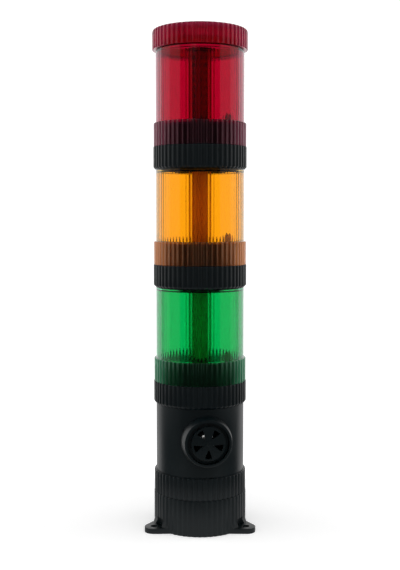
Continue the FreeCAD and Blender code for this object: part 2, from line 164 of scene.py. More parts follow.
def around(radius: float, angle: float) -> tuple[float, float]:
    """X and Y of the point at a radius and an angle, in degrees from +X."""
    return radius * math.cos(math.radians(angle)), radius * math.sin(math.radians(angle))


def apart(angle: float, other: float) -> float:
    """Smallest turn between two angles, in degrees."""
    return abs((angle - other + 180.0) % 360.0 - 180.0)


class Bench:
    """Steps of modelling, each done with Blender's own operators."""

    @staticmethod
    def clear() -> None:
        """Deselect everything."""
        bpy.ops.object.select_all(action="DESELECT")

    @staticmethod
    def pick(*pieces: Piece) -> None:
        """Select the pieces and make the first one active.

        Args:
            pieces: the objects to select.
        """
        Bench.clear()
        for piece in pieces:
            piece.select_set(True)
        bpy.context.view_layer.objects.active = pieces[0]

    @staticmethod
    def named(name: str) -> Piece:
        """Name the piece that was just added and put its place into its mesh.

        Args:
            name: its name.

        Returns:
            The piece.
        """
        piece = bpy.context.object
        piece.name = name
        bpy.ops.object.transform_apply(location=True, rotation=True, scale=True)
        return piece

    @staticmethod
    def lathe(name: str, corners: Sequence[Corner], steps: int = AROUND) -> Piece:
        """Turn a closed outline about the Z axis.

        Args:
            name: the new piece's name.
            corners: the outline.
            steps: how many steps the full turn takes.

        Returns:
            The turned piece.
        """
        outline = eased(corners)
        Bench.clear()
        bpy.ops.mesh.primitive_plane_add(size=MM)
        piece = bpy.context.object
        piece.name = name
        bpy.ops.object.mode_set(mode="EDIT")
        bpy.ops.mesh.select_mode(type="VERT")
        bpy.ops.mesh.select_all(action="SELECT")
        bpy.ops.mesh.merge(type="CENTER")
        bpy.ops.transform.translate(value=(outline[0][0], 0, outline[0][1]))
        for last, here in zip(outline, outline[1:]):
            move = (here[0] - last[0], 0, here[1] - last[1])
            bpy.ops.mesh.extrude_region_move(TRANSFORM_OT_translate={"value": move})
        bpy.ops.mesh.select_all(action="SELECT")
        bpy.ops.mesh.spin(steps=steps, angle=2 * math.pi, center=(0, 0, 0), axis=(0, 0, 1))
        bpy.ops.mesh.select_all(action="SELECT")
        bpy.ops.mesh.remove_doubles(threshold=WELD)
        bpy.ops.mesh.normals_make_consistent(inside=False)
        bpy.ops.object.mode_set(mode="OBJECT")
        return piece

    @staticmethod
    def rescale(
        piece: Piece, chosen: Callable[[Vector], bool], scale: Place
    ) -> None:
        """Scale the chosen points about the origin.

        Args:
            piece: the object to change.
            chosen: says of a point whether it moves.
            scale: the share of each coordinate that a chosen point keeps.
        """
        Bench.pick(piece)
        bpy.ops.object.mode_set(mode="EDIT")
        bpy.ops.mesh.select_mode(type="VERT")
        bpy.ops.mesh.select_all(action="DESELECT")
        bpy.ops.object.mode_set(mode="OBJECT")
        flags = [chosen(vertex.co / MM) for vertex in piece.data.vertices]
        piece.data.vertices.foreach_set("select", flags)
        bpy.ops.object.mode_set(mode="EDIT")
        bpy.ops.transform.resize(value=scale, center_override=(0, 0, 0))
        bpy.ops.object.mode_set(mode="OBJECT")

    @staticmethod
    def redraw(
        piece: Piece,
        radius: float,
        new_radius: float,
        low: float,
        high: float,
        chosen: Callable[[float], bool],
    ) -> None:
        """Bring part of a turned surface to another radius.

        Args:
            piece: the turned object.
            radius: the surface's radius.
            new_radius: the radius that it gets.
            low: lowest height that changes.
            high: highest height that changes.
            chosen: says of an angle whether the surface changes there.
        """
        share = new_radius / radius
        Bench.rescale(
            piece,
            lambda spot: abs(spot.xy.length - radius) < SLACK
            and low - SLACK < spot.z < high + SLACK
            and chosen(bearing(spot)),
            (share, share, 1),
        )

    @staticmethod
    def combine(piece: Piece, other: Piece, how: Blend) -> None:
        """Combine a piece with another, which is used up.

        Args:
            piece: the object that stays.
            other: the object that is joined, cut away or kept in common.
            how: which of the three it is.
        """
        Bench.pick(piece)
        step = piece.modifiers.new("combine", "BOOLEAN")
        step.operation = how.value
        step.solver = "EXACT"
        step.object = other
        bpy.ops.object.modifier_apply(modifier=step.name)
        bpy.data.objects.remove(other)

    @staticmethod
    def soften(piece: Piece, width: float, angle: float) -> None:
        """Bevel the sharp edges of a piece.

        Args:
            piece: the object to bevel.
            width: the bevel's width.
            angle: edges that turn by more than this are bevelled.
        """
        Bench.pick(piece)
        step = piece.modifiers.new("soften", "BEVEL")
        step.width = width * MM
        step.segments = EASE_PIECES
        step.limit_method = "ANGLE"
        step.angle_limit = math.radians(angle)
        step.use_clamp_overlap = True
        bpy.ops.object.modifier_apply(modifier=step.name)

    @staticmethod
    def smooth(piece: Piece, angle: float) -> None:
        """Shade a piece smooth.

        Args:
            piece: the object.
            angle: edges that turn by less than this look smooth.
        """
        Bench.pick(piece)
        bpy.ops.object.shade_smooth_by_angle(angle=math.radians(angle))

    @staticmethod
    def place(piece: Piece, matrix: Matrix) -> None:
        """Move a piece and put that move into its mesh.

        Args:
            piece: the object to move.
            matrix: the move.
        """
        Bench.pick(piece)
        piece.matrix_world = matrix @ piece.matrix_world
        bpy.ops.object.transform_apply(location=True, rotation=True, scale=True)

    @staticmethod
    def copy(piece: Piece, name: str, matrix: Matrix) -> Piece:
        """Copy a piece, with a mesh of its own, to another place.

        Args:
            piece: the object to copy.
            name: the copy's name.
            matrix: the move from the piece to the copy.

        Returns:
            The copy.
        """
        Bench.pick(piece)
        bpy.ops.object.duplicate(linked=False)
        twin = bpy.context.object
        twin.name = name
        Bench.place(twin, matrix)
        return twin

    @staticmethod
    def bar(
        name: str, radius: float, low: float, high: float, centre: tuple[float, float] = (0, 0),
        sides: int = ROUND, top_radius: float | None = None,
    ) -> Piece:
        """Upright bar, round or many-sided, which may taper.

        Args:
            name: the new piece's name.
            radius: its lower radius.
            low: its lower end.
            high: its upper end.
            centre: where its axis stands.
            sides: how many sides it has.
            top_radius: its upper radius, if that differs.

        Returns:
            The new piece.
        """
        Bench.clear()
        bpy.ops.mesh.primitive_cone_add(
            vertices=sides,
            radius1=radius * MM,
            radius2=(radius if top_radius is None else top_radius) * MM,
            depth=(high - low) * MM,
            location=(centre[0] * MM, centre[1] * MM, (low + high) / 2 * MM),
        )
        return Bench.named(name)

    @staticmethod
    def block(name: str, low: Place, high: Place) -> Piece:
        """Upright block between two corners.

        Args:
            name: the new piece's name.
            low: its lowest corner.
            high: its highest corner.

        Returns:
            The new piece.
        """
        start = Vector(low) * MM
        end = Vector(high) * MM
        Bench.clear()
        bpy.ops.mesh.primitive_cube_add(size=1, location=(start + end) / 2, scale=end - start)
        return Bench.named(name)


@dataclass(frozen=True)
class Ribs:
    """Upright grooves round a moulding: how deep they are and how one pitch is shaped."""

    depth: float = 0.7
    shape: tuple[float, ...] = (0.0, 0.0, 0.3, 1.0, 1.0, 1.0, 0.3, 0.0)

    def carve(
        self, piece: Piece, crest: float, inner: float, low: float, high: float,
        outer: float = math.inf,
    ) -> None:
        """Sink the grooves into a turned piece.

        Args:
            piece: the turned object.
            crest: radius of the surface that the grooves are sunk into.
            inner: only points beyond this radius move.
            low: lowest height that is grooved.
            high: highest height that is grooved.
            outer: only points within this radius move.
        """
        for depth in sorted(set(self.shape) - {0.0}):
            share = 1 - self.depth * depth / crest
            Bench.rescale(
                piece,
                lambda spot, depth=depth: low - SLACK <= spot.z <= high + SLACK
                and inner <= spot.xy.length <= outer
                and self.depth_at(bearing(spot)) == depth,
                (share, share, 1),
            )

    def depth_at(self, angle: float) -> float:
        """Share of the full depth that the grooves have at an angle, in degrees from +X."""
        return self.shape[round((angle + 90.0) % 360.0 / 360.0 * AROUND) % len(self.shape)]


# Shading


class Wire:
    """A node's output that can be used in Python expressions."""

    def __init__(self, shading: "Shading", socket: bpy.types.NodeSocket) -> None:
        """Wrap a socket of a material.

        Args:
            shading: the material that it belongs to.
            socket: the output socket.
        """
        self.shading = shading
        self.socket = socket

    def _maths(self, operation: str, first: object, second: object) -> "Wire":
        """Add a Math node and return its result.

        Args:
            operation: what the node does.
            first: its first value or wire.
            second: its second value or wire.

        Returns:
            The node's output.
        """
        node = self.shading.node("ShaderNodeMath", {"operation": operation}, {0: first, 1: second})
        return Wire(self.shading, node.outputs[0])

    def __add__(self, other: object) -> "Wire":
        """Add a wire or a number."""
        return self._maths("ADD", self, other)

    def __mul__(self, other: object) -> "Wire":
        """Multiply by a wire or a number."""
        return self._maths("MULTIPLY", self, other)

    def __rsub__(self, other: object) -> "Wire":
        """Subtract this wire from a number."""
        return self._maths("SUBTRACT", other, self)

    def largest(self, other: object) -> "Wire":
        """Return the larger of this and another."""
        return self._maths("MAXIMUM", self, other)


class Shading:
    """The nodes of one material or world."""

    def __init__(self, owner: bpy.types.ID) -> None:
        """Start on the nodes of a material or world.

        Args:
            owner: the material or world.
        """
        owner.use_nodes = True
        self.owner = owner
        self.nodes = owner.node_tree.nodes
        self.links = owner.node_tree.links

    @classmethod
    def material(cls, name: str) -> "Shading":
        """Start a new material."""
        return cls(bpy.data.materials.new(name))

    def node(self, kind: str, settings: dict, inputs: dict) -> bpy.types.Node:
        """Add a node.

        Args:
            kind: the node's type.
            settings: its own properties, set first.
            inputs: values or wires of its sockets, by name or number.

        Returns:
            The node.
        """
        node = self.nodes.new(kind)
        for key, value in settings.items():
            setattr(node, key, value)
        for key, value in inputs.items():
            self.feed(node.inputs[key], value)
        return node

    def feed(self, socket: bpy.types.NodeSocket, value: object) -> None:
        """Link a wire to a socket, or set the socket to a value.

        Args:
            socket: the input socket.
            value: the wire or the value.
        """
        if isinstance(value, Wire):
            self.links.new(value.socket, socket)
        elif isinstance(value, tuple) and len(value) == 3 and socket.type == "RGBA":
            socket.default_value = (*value, 1)
        else:
            socket.default_value = value

    def dress(self, **inputs: object) -> None:
        """Set the Principled shader's sockets.

        Args:
            inputs: wires or values by socket name, with underscores for spaces.
        """
        shader = self.nodes["Principled BSDF"]
        for key, value in inputs.items():
            self.feed(shader.inputs[key.replace("_", " ")], value)

    def noise(self, scale: float, detail: float = 3.0, stretch: Place = (1, 1, 1)) -> Wire:
        """Noise fixed to the piece.

        Args:
            scale: its scale per metre.
            detail: how many finer layers it has.
            stretch: scale along each axis.

        Returns:
            The noise, from 0 to 1.
        """
        place = self.node("ShaderNodeTexCoord", {}, {})
        spot = Wire(self, place.outputs["Object"])
        stretched = self.node("ShaderNodeMapping", {}, {"Vector": spot, "Scale": stretch})
        spot = Wire(self, stretched.outputs[0])
        inputs = {"Vector": spot, "Scale": scale, "Detail": detail}
        noise = self.node("ShaderNodeTexNoise", {}, inputs)
        return Wire(self, noise.outputs[0])

    def mixed(self, share: Wire, first: Colour | Wire, second: Colour | Wire) -> Wire:
        """Mix two colours.

        Args:
            share: how much of the second one shows.
            first: the first colour.
            second: the second colour.

        Returns:
            The mixed colour.
        """
        node = self.node("ShaderNodeMix", {"data_type": "RGBA"}, {0: share, 6: first, 7: second})
        return Wire(self, node.outputs[2])

    def bump(self, height: Wire, depth: float) -> Wire:
        """Relief from a height.

        Args:
            height: the relief, from 0 to 1.
            depth: its depth.

        Returns:
            The bent normal.
        """
        node = self.node("ShaderNodeBump", {}, {"Height": height, "Distance": depth * MM})
        return Wire(self, node.outputs[0])


@dataclass(frozen=True)
class Finish:
    """What every finish has: two shades that it varies between, and how rough it is at least."""

    first: Colour
    second: Colour
    roughness: float

    def material(self, name: str) -> bpy.types.Material:
        """Make the material.

        Args:
            name: its name.

        Returns:
            The material.
        """
        shading = Shading.material(name)
        self.paint(shading)
        return shading.owner

    def paint(self, shading: Shading) -> None:
        """Set up the material's nodes.

        Args:
            shading: the new material's nodes.
        """
        raise NotImplementedError


@dataclass(frozen=True)
class MouldedPlastic(Finish):
    """Opaque moulded plastic or rubber with a fine grain."""

    grain_depth: float = 0.012
    patch_scale: float = 35.0
    patch_roughness: float = 0.12
    grain_scale: float = 1600.0
    grain_roughness: float = 0.06

    def paint(self, shading: Shading) -> None:
        """Set up the material's nodes.

        Args:
            shading: the new material's nodes.
        """
        patches = shading.noise(self.patch_scale)
        grain = shading.noise(self.grain_scale, detail=2.0)
        uneven = patches * self.patch_roughness + grain * self.grain_roughness
        shading.dress(
            Base_Color=shading.mixed(patches, self.first, self.second),
            Roughness=uneven + self.roughness,
            Normal=shading.bump(grain, self.grain_depth),
        )


@dataclass(frozen=True)
class ClearPlastic(Finish):
    """Coloured see-through plastic, with the slight waves of a moulded wall."""

    roughness: float = 0.03
    bending: float = 1.49
    shine: float = 0.5
    coat: float = 0.0
    coat_roughness: float = 0.2
    glint: float = 0.0
    wave_scale: float = 24.0
    wave_stretch: Place = (1, 1, 0.3)
    wave_roughness: float = 0.05
    wave_depth: float = 0.05

    def paint(self, shading: Shading) -> None:
        """Set up the material's nodes.

        Args:
            shading: the new material's nodes.
        """
        waves = shading.noise(self.wave_scale, detail=2.0, stretch=self.wave_stretch)
        shading.dress(
            Base_Color=shading.mixed(waves, self.first, self.second),
            Roughness=waves * self.wave_roughness + self.roughness,
            Metallic=self.glint,
            IOR=self.bending,
            Specular_IOR_Level=self.shine,
            Coat_Weight=self.coat,
            Coat_Roughness=self.coat_roughness,
            Transmission_Weight=1.0,
            Normal=shading.bump(waves, self.wave_depth),
        )


@dataclass(frozen=True)
class LensPlastic(ClearPlastic):
    """See-through plastic of a lens, with a soft gloss over a dull surface."""

    shine: float = 0.15
    coat: float = 0.25


@dataclass(frozen=True)
class RibbedPlastic(ClearPlastic):
    """Coloured plastic whose fine ribs blur what lies behind and glint in their own colour."""

    roughness: float = 0.26
    bending: float = 1.25
    coat: float = 0.7
    coat_roughness: float = 0.15
    glint: float = 0.30


@dataclass(frozen=True)
class BareMetal(Finish):
    """Metal with fine marks."""

    mark_scale: float = 400.0
    mark_roughness: float = 0.15
    mark_depth: float = 0.01

    def paint(self, shading: Shading) -> None:
        """Set up the material's nodes.

        Args:
            shading: the new material's nodes.
        """
        marks = shading.noise(self.mark_scale, detail=4.0)
        shading.dress(
            Base_Color=shading.mixed(marks, self.first, self.second),
            Metallic=1.0,
            Roughness=marks * self.mark_roughness + self.roughness,
            Normal=shading.bump(marks, self.mark_depth),
        )


class Finishes:
    """Every finish, made once and looked up by name."""

    def __init__(self) -> None:
        """Make the materials."""
        finishes = {
            "black_plastic": MouldedPlastic((0.001, 0.0052, 0.0068), (0.002, 0.0078, 0.01), 0.29),
            "grey_plastic": MouldedPlastic((0.05, 0.05, 0.052), (0.07, 0.07, 0.072), 0.41),
            "seal_rubber": MouldedPlastic((0.006, 0.006, 0.006), (0.01, 0.01, 0.01), 0.61, 0.03),
            "board_green": MouldedPlastic((0.02, 0.075, 0.035), (0.03, 0.1, 0.05), 0.31),
            # Painted light: each module's column and LEDs are brightened and tinted to its lens
            # colour for the light inside the lens; the red LEDs are darkened instead, painted
            # shade.
            "green_column": MouldedPlastic((0.36, 0.92, 0.34), (0.40, 0.98, 0.38), 0.36),
            "amber_column": MouldedPlastic((0.96, 0.38, 0.08), (1.0, 0.42, 0.10), 0.36),
            "red_column": MouldedPlastic((0.84, 0.12, 0.08), (0.92, 0.14, 0.10), 0.36),
            "green_leds": MouldedPlastic((0.38, 0.78, 0.24), (0.44, 0.84, 0.28), 0.21),
            "amber_leds": MouldedPlastic((0.95, 0.42, 0.14), (1.0, 0.48, 0.16), 0.21),
            "red_leds": MouldedPlastic((0.36, 0.20, 0.12), (0.42, 0.24, 0.14), 0.21),
            "led_yellow": MouldedPlastic((0.50, 0.34, 0.14), (0.58, 0.40, 0.17), 0.21),
            "capacitor_sleeve": MouldedPlastic((0.50, 0.30, 0.14), (0.58, 0.36, 0.17), 0.21),
            "green_lens": LensPlastic((0.03, 0.66, 0.29), (0.02, 0.64, 0.27)),
            "amber_lens": LensPlastic((1.0, 0.61, 0.07), (1.0, 0.59, 0.06)),
            "red_lens": LensPlastic((0.64, 0.003, 0.13), (0.61, 0.002, 0.12)),
            "green_guide": ClearPlastic((0.70, 0.90, 0.78), (0.68, 0.88, 0.76)),
            "amber_guide": ClearPlastic((0.98, 0.93, 0.70), (0.96, 0.91, 0.68)),
            "red_guide": ClearPlastic((0.82, 0.30, 0.40), (0.80, 0.28, 0.38)),
            # Painted shade: each lens's skirt takes a darker copy of the lens plastic; its blur
            # and glint come from roughness, coat and metallic under the lamps.
            "green_rim": RibbedPlastic((0.10, 0.46, 0.24), (0.08, 0.42, 0.22)),
            "amber_rim": RibbedPlastic((0.94, 0.42, 0.16), (0.88, 0.38, 0.14)),
            "red_rim": RibbedPlastic((0.36, 0.08, 0.14), (0.32, 0.07, 0.12)),
            "red_cap": RibbedPlastic((0.56, 0.02, 0.09), (0.52, 0.02, 0.08)),
            # Painted light: the cap's inner faces take a paler, clearer copy of its plastic, so
            # that its underside looks lit.
            "red_cap_painted_light_inside": RibbedPlastic(
                (1.0, 0.14, 0.34), (0.98, 0.12, 0.32), coat=0.0, glint=0.0
            ),
            "contact_brass": BareMetal((0.72, 0.52, 0.22), (0.6, 0.42, 0.17), 0.18),
            "screw_steel": BareMetal((0.6, 0.6, 0.6), (0.5, 0.5, 0.5), 0.28),
            "sounder_metal": BareMetal((0.90, 0.90, 0.88), (0.80, 0.80, 0.78), 0.11),
        }
        self._materials = {name: finish.material(name) for name, finish in finishes.items()}

    def dress(self, piece: Piece, *names: str) -> None:
        """Give a piece its finishes.

        Args:
            piece: the object.
            names: the finishes, in the order of its material slots.
        """
        piece.data.materials.clear()
        for name in names:
            piece.data.materials.append(self._materials[name])

    def dress_frame(self) -> None:
        """Give each frame solid its slot's finish or a listed one; columns and LEDs get painted
        light.
        """
        for part in frame["record"]["subparts"]:
            colour, _, piece = part["node"].partition("_")
            # Each module's column and LEDs take its painted-light copy in place of their own
            # finish.
            names = {
                "column": f"{colour}_column",
                "leds": f"{colour}_leds",
                "head": f"{colour}_lens",
                "capacitor": "capacitor_sleeve",
            }
            name = names.get(piece, part["material_slot"])
            for place in frame["nodes"][part["node"]].material_slots:
                place.material = self._materials.get(name, self._materials[part["material_slot"]])


def level(node: str, top: bool = False) -> float:
    """Lowest or highest level of a solid of the frame, in millimetres."""
    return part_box(node)[1 if top else 0].z / MM


# The tower


@dataclass(frozen=True)
class Radii:
    """Radii that every module shares."""

    ring: float = 35.0
    skirt: float = 34.7
    tube: float = 33.2
    cap: float = 35.6
    neck: float = 31.2
    neck_bore: float = 29.2
    plug: float = 31.9
    plug_bore: float = 29.9
    seat_bore: float = 30.7
    skirt_bore: float = 32.2
    lens_bore: float = 31.0


@dataclass(frozen=True)
class Bayonet:
    """The coupling between two modules: a lugged neck below, a foot with its ledge above."""

    neck: float = 5.7
    lug_height: float = 2.4
    lug: float = 32.6
    lug_span: float = 20.0
    lug_angles: tuple[float, ...] = (0.0, 120.0, 240.0)
    ledge: float = 31.5
    ledge_height: float = 3.0
    chamber: float = 32.9
    chamber_top: float = 8.5
    socket_top: float = 10.5
    twist: float = 26.0
    entry_span: float = 23.0
    stop_span: float = 5.0
    stop_shift: float = 13.1

    def neck_corners(self, radii: Radii, shoulder: float) -> list[Corner]:
        """Outline of a shoulder and the neck above it, from outside in.

        Args:
            radii: the tower's radii.
            shoulder: the shoulder's height.

        Returns:
            Corners from the shoulder's outer edge to the neck's inner edge.
        """
        top = shoulder + self.neck
        return [
            Corner(radii.tube, shoulder, EDGE),
            Corner(radii.neck, shoulder),
            Corner(radii.neck, top - self.lug_height),
            Corner(self.lug, top - self.lug_height),
            Corner(self.lug, top),
            Corner(radii.neck_bore, top),
        ]

    def trim_neck(self, piece: Piece, radii: Radii, shoulder: float) -> None:
        """Leave only the lugs of the flange round a neck.

        Args:
            piece: the turned object.
            radii: the tower's radii.
            shoulder: the shoulder's height.
        """
        top = shoulder + self.neck
        Bench.redraw(
            piece, self.lug, radii.neck, top - self.lug_height, top,
            lambda angle: all(apart(angle, lug) > self.lug_span / 2 for lug in self.lug_angles),
        )

    def foot_corners(self, foot: float) -> list[Corner]:
        """Outline of the chamber and ledge inside a foot, from the top down.

        Args:
            foot: the foot's lower face.

        Returns:
            Corners from the chamber's roof to the ledge's lower edge.
        """
        return [
            Corner(self.chamber, foot + self.chamber_top),
            Corner(self.chamber, foot + self.ledge_height),
            Corner(self.ledge, foot + self.ledge_height),
            Corner(self.ledge, foot),
        ]

    def socket_corners(self, radii: Radii, foot: float) -> list[Corner]:
        """Outline of a foot's inside, with the seat above its chamber, from the top down.

        Args:
            radii: the tower's radii.
            foot: the foot's lower face.

        Returns:
            Corners from the module's own bore to the ledge's lower edge.
        """
        return [
            Corner(radii.plug_bore, foot + self.socket_top),
            Corner(radii.seat_bore, foot + self.socket_top),
            Corner(radii.seat_bore, foot + self.chamber_top),
            *self.foot_corners(foot),
        ]

    def open_foot(self, piece: Piece, foot: float) -> None:
        """Open the entry gaps in a foot's ledge and stand the stops in its chamber.

        Args:
            piece: the turned object.
            foot: the foot's lower face.
        """
        released = [angle - self.twist for angle in self.lug_angles]
        stops = [angle + self.stop_shift for angle in self.lug_angles]
        stops += [angle - self.stop_shift for angle in released]
        Bench.redraw(
            piece, self.chamber, self.ledge, foot + self.ledge_height, foot + self.chamber_top,
            lambda angle: any(apart(angle, stop) < self.stop_span / 2 for stop in stops),
        )
        Bench.redraw(
            piece, self.ledge, self.chamber, foot, foot + self.ledge_height,
            lambda angle: any(apart(angle, gap) < self.entry_span / 2 for gap in released),
        )


@dataclass
class Module:
    """What every module has: its body in the frame, its finishes and the shared sizes."""

    body: str
    finishes: Finishes
    radii: Radii = Radii()
    bayonet: Bayonet = Bayonet()
    ribs: Ribs = Ribs()

    def settle(
        self, piece: Piece, slot: str, replaced: Sequence[str], angle: float = FLAT
    ) -> None:
        """Finish a piece and tie it to the frame.

        Args:
            piece: the modelled object.
            slot: its finish.
            replaced: the frame's solids that it stands for.
            angle: edges that turn by less than this are shaded smooth.
        """
        Bench.smooth(piece, angle)
        self.finishes.dress(piece, slot)
        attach(piece, self.body)
        if replaced:
            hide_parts(*replaced)
        log.info("%s: %d faces on %s", piece.name, len(piece.data.polygons), self.body)


@dataclass
class Base(Module):
    """Ribbed drum on three ears, open at the top with a bayonet neck."""

    height: float = 27.0
    rib_depth: float = 0.4
    floor: float = 2.5
    cable_hole: float = 11.0
    gasket_inner: float = 24.0
    gasket_outer: float = 28.0
    gasket_depth: float = 1.2
    foot_ease: float = 1.0
    hole_circle: float = 40.0
    hole: float = 2.6
    hole_sides: int = 64
    ear: float = 6.9
    ear_thickness: float = 3.8
    ear_flare: float = math.radians(28.0)
    ear_ease: float = 0.8
    ear_edge: float = 60.0
    ear_root: float = 6.0
    ear_overlap: float = 2.0
    ear_angles: tuple[float, ...] = (90.0, 210.0, 330.0)
    gusset_height: float = 3.8
    gusset_reach: float = 2.6
    pocket: float = 5.2
    pocket_inset: float = 2.4
    pocket_height: float = 5.4
    post: float = 3.4
    post_circle: float = 24.0
    post_top: float = 22.0
    post_angles: tuple[float, ...] = (30.0, 150.0, 270.0)

    def build(self) -> None:
        """Build the base."""
        radii = self.radii
        shoulder = self.height
        drum = Bench.lathe(
            "ribbed_base",
            [
                Corner(self.cable_hole, 0, CRISP),
                Corner(self.gasket_inner, 0),
                Corner(self.gasket_inner, self.gasket_depth),
                Corner(self.gasket_outer, self.gasket_depth),
                Corner(self.gasket_outer, 0),
                Corner(radii.ring, 0, self.foot_ease),
                Corner(radii.ring, shoulder, EDGE),
                *self.bayonet.neck_corners(radii, shoulder)[1:],
                Corner(radii.neck_bore, self.floor, FULL),
                Corner(self.cable_hole, self.floor, CRISP),
            ],
        )
        ribs = Ribs(self.rib_depth, self.ribs.shape)
        ribs.carve(drum, radii.ring, self.bayonet.chamber + APART, 0, shoulder)
        self.bayonet.trim_neck(drum, radii, shoulder)
        ear = self._ear()
        for index, angle in enumerate(self.ear_angles):
            turn = Matrix.Rotation(math.radians(angle), 4, "Z")
            Bench.combine(drum, Bench.copy(ear, f"ear_{index}", turn), Blend.JOIN)
            Bench.combine(drum, self._driver_path(angle), Blend.CUT)
        bpy.data.objects.remove(ear)
        for angle in self.post_angles:
            spot = around(self.post_circle, angle)
            post = Bench.bar("post", self.post, self.floor - SUNK, self.post_top, spot, COARSE)
            Bench.combine(drum, post, Blend.JOIN)
        self.settle(drum, "black_plastic", ["base_housing"])

    def _ear(self) -> Piece:
        """Model one ear on +X, with the gusset that meets the drum's wall.

        Returns:
            The ear.
        """
        plate = self._ear_bar("ear", self.ear_thickness)
        Bench.soften(plate, self.ear_ease, self.ear_edge)
        top = self.ear_thickness + self.gusset_height
        gusset = self._ear_bar("gusset", top)
        cone = Bench.bar(
            "gusset_slope", self.radii.ring + self.gusset_reach, self.ear_ease, top,
            sides=AROUND, top_radius=self.radii.ring - self.rib_depth,
        )
        Bench.combine(gusset, cone, Blend.KEEP)
        Bench.combine(plate, gusset, Blend.JOIN)
        inside = self.radii.ring - self.ear_overlap
        core = Bench.bar("drum_core", inside, -OVERRUN, top + OVERRUN, sides=AROUND)
        Bench.combine(plate, core, Blend.CUT)
        return plate

    def _ear_bar(self, name: str, height: float) -> Piece:
        """Bar with an ear's outline: a round tip, and flanks that widen towards the drum.

        Args:
            name: the new piece's name.
            height: its height.

        Returns:
            The bar.
        """
        tip = Bench.bar(name, self.ear, 0, height, (self.hole_circle, 0))
        outer = self.hole_circle + self.ear * math.sin(self.ear_flare)
        inner = self.radii.ring - self.ear_root
        half = self.ear * math.cos(self.ear_flare)
        wide = half + (outer - inner) * math.tan(self.ear_flare)
        flanks = Bench.block("flanks", (inner, -half, 0), (outer, half, height))
        Bench.rescale(flanks, lambda spot: spot.x < inner + SLACK, (1, wide / half, 1))
        Bench.combine(tip, flanks, Blend.JOIN)
        return tip

    def _driver_path(self, angle: float) -> Piece:
        """Screw hole of one ear and the room above it for a screwdriver.

        Args:
            angle: where the ear points.

        Returns:
            The space to cut away.
        """
        hole = around(self.hole_circle, angle)
        middle = around(self.hole_circle - self.pocket_inset, angle)
        top = self.ear_thickness + OVERRUN
        path = Bench.bar("screw_hole", self.hole, -OVERRUN, top, hole, self.hole_sides)
        top = self.ear_thickness + self.pocket_height
        pocket = Bench.bar("pocket", self.pocket, self.ear_thickness, top, middle)
        Bench.combine(path, pocket, Blend.JOIN)
        return path


